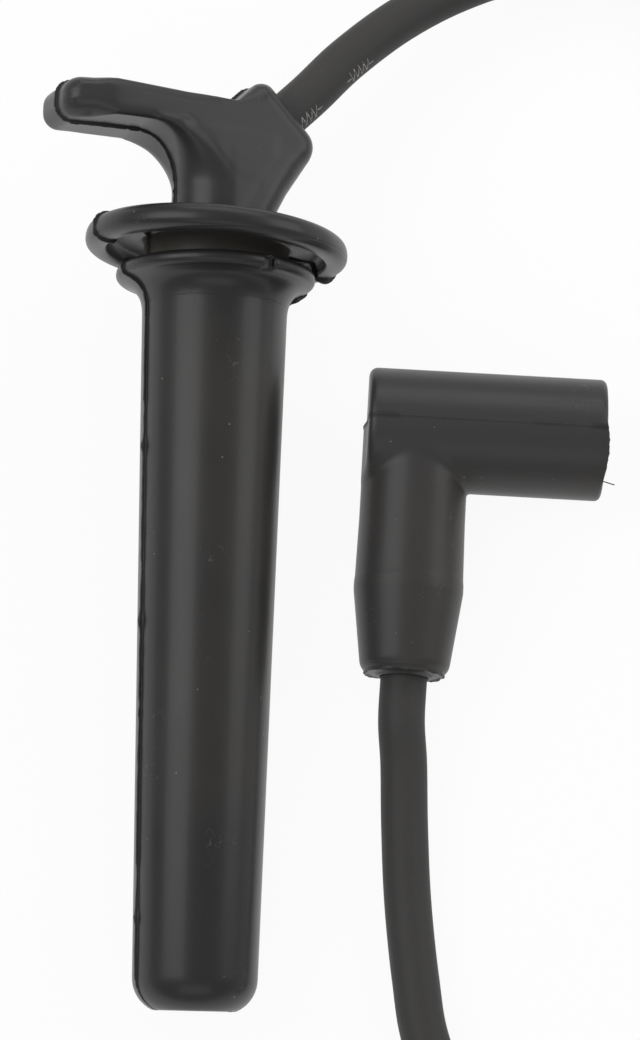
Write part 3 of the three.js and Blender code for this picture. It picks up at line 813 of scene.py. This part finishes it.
def coil_boot_field(x, y, z):
    """Distance to the rubber's surface: x out of the barrel, y away from the leg."""
    across = np.hypot(y, z)
    around = np.hypot(x, z)
    cap = rounded(across - barrel_radius, -cap_reach - x + 0.03 * np.maximum(z, 0), cap_round)
    mouth = rounded(across - barrel_radius, x - barrel_length, mouth_round)
    leg = outline_distance(leg_outline, around, -y)
    mould_step = 0.07 * np.clip(y / 0.12, 0, 1)
    body = smooth_join(np.maximum(cap, mouth), leg, 0.9) - mould_step

    proud = 0.02 + 0.07 * np.clip(ragged(0.7 * x + 2) + 0.4, 0, 1)
    flash = np.maximum(body - proud, np.maximum(np.abs(y) - 0.1, -6 - z))
    body = smooth_join(body, flash, 0.12)
    tear = 0.42 * (1 - ((y + 3.1) / 3.9) ** 2) * (1 + 0.25 * ragged(2.2 * y))
    skirt_reach = np.maximum(x - barrel_length - tear, barrel_length - 1 - x)
    skirt = np.maximum(np.abs(across - 8.85) - 0.25, skirt_reach)
    body = smooth_join(body, np.maximum(skirt, -z), 0.12)
    turn = np.arctan2(z, x)
    lip_size = 0.2 + 0.22 * ragged(3 * turn + 1) * ragged(2 * turn)
    lip = np.hypot(around - 5.9, y + leg_length - 0.1) - lip_size
    body = smooth_join(body, lip, 0.3)
    bead = np.hypot(around - 3.95, y + leg_length) - 0.42
    body = smooth_join(body, bead, 0.3)

    tower_space = np.maximum(across - tower_bore, barrel_length - tower_bore_depth - x)
    body = carve(body, tower_space, 0.4)
    body = carve(body, np.maximum(across - socket_bore, -socket_bore_reach - x), 0.2)
    crimp_space = np.maximum(around - crimp_bore, np.maximum(y, -crimp_bore_depth - y))
    body = carve(body, crimp_space, 0.2)
    wire_hole = np.where(y < -leg_length + wire_seal_depth, wire_seal_bore, wire_bore)
    return carve(body, np.maximum(around - wire_hole, y), 0.3)


coil_lattice = [
    steps((-9.4, 9.4, 0.35), (9.4, 26.2, 0.6), (26.2, 27.8, 0.35), (27.8, 29.4, 0.16)),
    steps(
        (-39.3, -36.3, 0.25),
        (-36.3, -0.7, 0.4),
        (-0.7, -0.3, 0.2),
        (-0.3, 0.3, 0.06),
        (0.3, 0.7, 0.2),
        (0.7, 10.3, 0.4),
    ),
    steps((-9.9, 10.1, 0.35)),
]
coil_boot = moulded("coil_boot_moulding", coil_boot_field, coil_lattice, coil_place)
coil_rubber = rubber_of(
    "coil_boot_rubber",
    coil_place,
    rings=[(1, -36.6, 0.16)],
    seam_tone=0.2,
    pale_from=-30,
    pale_share=0.75,
    gloss=0.09,
    dust_and_painted_light=0,
)
coil_boot.data.materials.append(coil_rubber)
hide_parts("coil_boot")
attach(coil_boot, "root")

# A thread of flash stands off the barrel's mouth.
whisker_points = [Vector(point) for point in ((27.6, -7.35, 5.2), (28.6, -7.6, 5.3), (29.9, -7.9, 5.1))]
whisker_line = smooth_line([coil_place @ point for point in whisker_points], 4)
whisker = swept("mouth_whisker", whisker_line, 0.09, 8, coil_rubber)
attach(whisker, "root")


# Terminals: plated sheet steel, rolled into a socket for the stud and crimped round the wire.
# Each has a clip of spring wire that grips the stud, and a carbon-filled core folded back
# under its crimp. They show in the open mouths of the boots.
def steel_recipe(tree):
    """Plated steel with fine rolling lines and a few dull patches."""
    place = tree.add("ShaderNodeTexCoord", output="Object")
    patches = tree.noise(place, 300.0, 4.0, 0.6)
    rolled = tree.add("ShaderNodeMapping", {"Vector": place, "Scale": (9000.0, 400.0, 9000.0)})
    lines = tree.noise(rolled, 1.0)
    return {
        "Base_Color": tree.blend(patches, (0.5, 0.48, 0.44), (0.72, 0.7, 0.66)),
        "Roughness": 0.22 + 0.25 * patches,
        "Normal": tree.bump(lines, 0.00001),
    }


def spring_recipe(tree):
    """Drawn spring wire, darker than the plating and a little stained."""
    stain = tree.noise(tree.add("ShaderNodeTexCoord", output="Object"), 700.0, 3.0)
    return {
        "Base_Color": tree.blend(stain, (0.33, 0.33, 0.34), (0.5, 0.51, 0.53)),
        "Roughness": 0.2 + 0.2 * stain,
    }


def core_recipe(tree):
    """Carbon-filled strands, black and slightly shiny."""
    place = tree.add("ShaderNodeTexCoord", output="Object")
    strands = tree.noise(place, 3000.0, 2.0)
    return {
        "Base_Color": tree.blend(strands, (0.02, 0.02, 0.02), (0.06, 0.058, 0.055)),
        "Roughness": 0.35 + 0.2 * strands,
        "Normal": tree.bump(strands, 0.00004),
    }


finishes = {
    "terminal": ("plated_steel", finish_of("plated_steel", steel_recipe, Metallic=1.0)),
    "terminal_clip": ("spring_steel", finish_of("spring_steel", spring_recipe, Metallic=1.0)),
    "end_core": ("conductor", finish_of("conductor", core_recipe)),
    "end_wire": ("wire_jacket", jacket),
}
for end in ("plug", "coil"):
    for kind, (slot, finish) in finishes.items():
        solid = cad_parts[f"{end}_{kind}"]
        mesh = solid.data.copy()
        mesh.transform(solid.matrix_world)
        shape = bmesh.new()
        shape.from_mesh(mesh)
        bmesh.ops.remove_doubles(shape, verts=shape.verts, dist=0.000002)
        shape.to_mesh(mesh)
        shape.free()
        mesh.polygons.foreach_set("use_smooth", np.ones(len(mesh.polygons), bool))
        mesh.set_sharp_from_angle(angle=math.radians(38))
        mesh.materials.clear()
        mesh.materials.append(finish)
        piece = bpy.data.objects.new(f"{end}_{kind}_finished", mesh)
        scene.collection.objects.link(piece)
        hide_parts(f"{end}_{kind}")
        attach(piece, "root")

tuple(lead_points[0] * MM)

# Table and light: a white table that fades into a white room, under large soft lamps.
floor_mesh = bpy.data.meshes.new("table_top")
half = 3.0
table_corners = [(-half, -half, 0), (half, -half, 0), (half, half, 0), (-half, half, 0)]
floor_mesh.from_pydata(table_corners, [], [(0, 1, 2, 3)])
floor = bpy.data.objects.new("table_top", floor_mesh)
scene.collection.objects.link(floor)
paper = bpy.data.materials.new("white_paper")
paper.use_nodes = True
paper_nodes = paper.node_tree.nodes
paper_tree = Tree(paper.node_tree)
paper_shader = paper_nodes["Principled BSDF"]
paper_shader.inputs["Base Color"].default_value = (0.85, 0.85, 0.85, 1)
paper_shader.inputs["Roughness"].default_value = 0.9
seen = paper_tree.add("ShaderNodeLightPath", output="Is Camera Ray")
seen = seen + paper_tree.add("ShaderNodeLightPath", output="Is Glossy Ray")
seen = seen + paper_tree.add("ShaderNodeLightPath", output="Is Transmission Ray")
white = paper_tree.add("ShaderNodeEmission", {"Color": (1, 1, 1, 1), "Strength": 1.03})
mixed = paper_tree.add(
    "ShaderNodeMixShader",
    {0: (seen > 0.5) * 0.9, 1: Value(paper_tree, paper_shader.outputs[0]), 2: white},
)
paper_tree.put(paper_nodes["Material Output"].inputs["Surface"], mixed)
floor_mesh.materials.append(paper)

world = bpy.data.worlds.new("room")
world.use_nodes = True
scene.world = world
world_tree = Tree(world.node_tree)
room_light = world_tree.add("ShaderNodeBackground", {"Color": (1, 1, 1, 1), "Strength": 0.3})
room_seen = world_tree.add("ShaderNodeBackground", {"Color": (1, 1, 1, 1), "Strength": 1.0})
room = world_tree.add(
    "ShaderNodeMixShader",
    {0: world_tree.add("ShaderNodeLightPath", output="Is Camera Ray"), 1: room_light, 2: room_seen},
)
world_tree.put(world.node_tree.nodes["World Output"].inputs["Surface"], room)


def softbox(name, side, rise, reach, width, height, glow):
    """A flat lamp that faces the lead from a side and a rise in degrees, as bright as its glow."""
    data = bpy.data.lights.new(name, "AREA")
    data.shape = "RECTANGLE"
    data.size, data.size_y = width, height
    data.energy = glow * math.pi * width * height
    side, rise = math.radians(side), math.radians(rise)
    away = Vector((math.sin(side), math.cos(side), 0)) * math.cos(rise)
    away.z = math.sin(rise)
    lamp = bpy.data.objects.new(name, data)
    lamp.location = away * reach + Vector((0.02, 0.02, 0))
    lamp.rotation_euler = away.to_track_quat("Z", "Y").to_euler()
    scene.collection.objects.link(lamp)


softbox("left_softbox", -80, 52, 0.8, 0.5, 0.6, 2.1)
softbox("right_softbox", 76, 28, 0.9, 0.6, 0.5, 1.65)
softbox("back_softbox", 10, 34, 0.8, 0.8, 0.4, 1.4)
softbox("front_softbox", 180, 42, 1.0, 0.9, 0.5, 0.6)
